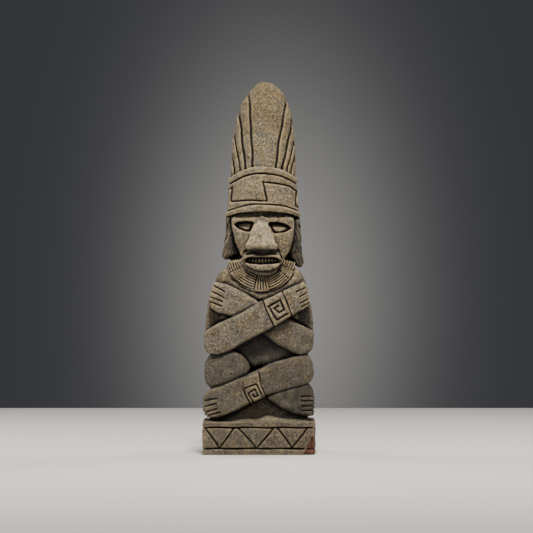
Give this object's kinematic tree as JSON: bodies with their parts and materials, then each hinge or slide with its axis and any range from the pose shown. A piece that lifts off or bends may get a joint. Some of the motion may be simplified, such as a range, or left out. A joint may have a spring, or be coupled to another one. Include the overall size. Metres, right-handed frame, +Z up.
{
  "type": "tiki figure",
  "caption": "seated stone idol carved in the round: square plinth, crossed legs and arms, masked face with bared teeth, fan collar, fretted headband and tall feather crest",
  "frame": {"origin": "centre of the plinth's underside", "axes": "+Z up, the figure faces -Y, +X is the figure's own left side"},
  "size_m": [0.151, 0.108, 0.5],
  "materials": {
    "carved_stone": "rough, pitted and grimy",
    "pale_stone": "worn smoother and paler"
  },
  "bodies": {
    "root": {"anklet": "carved_stone", "base_slope": "carved_stone", "belly": "carved_stone", "collar_panel_1": "carved_stone", "collar_panel_2": "carved_stone", "collar_panel_3": "carved_stone", "collar_panel_4": "carved_stone", "collar_panel_5": "carved_stone", "collar_panel_6": "carved_stone", "collar_panel_7": "carved_stone", "crest_back": "carved_stone", "crest_center_feather": "carved_stone", "crest_left_feather_1": "carved_stone", "crest_left_feather_2": "carved_stone", "crest_left_feather_3": "carved_stone", "crest_left_feather_4": "carved_stone", "crest_right_feather_1": "carved_stone", "crest_right_feather_2": "carved_stone", "crest_right_feather_3": "carved_stone", "crest_right_feather_4": "carved_stone", "face": "carved_stone", "head": "carved_stone", "headband_lower_rim": "carved_stone", "headband_panel": "carved_stone", "headband_upper_rim": "carved_stone", "left_eye": "pale_stone", "left_foot": "carved_stone", "left_forearm": "carved_stone", "left_hand": "carved_stone", "left_lappet": "carved_stone", "left_leg": "carved_stone", "left_upper_arm": "carved_stone", "lower_lip": "carved_stone", "nose": "carved_stone", "plinth": "carved_stone", "right_eye": "pale_stone", "right_foot": "carved_stone", "right_forearm": "carved_stone", "right_hand": "carved_stone", "right_lappet": "carved_stone", "right_leg": "carved_stone", "right_upper_arm": "carved_stone", "seat_block": "carved_stone", "teeth": "pale_stone", "torso": "carved_stone", "upper_lip": "carved_stone", "wristband": "carved_stone"}
  },
  "joints": []
}
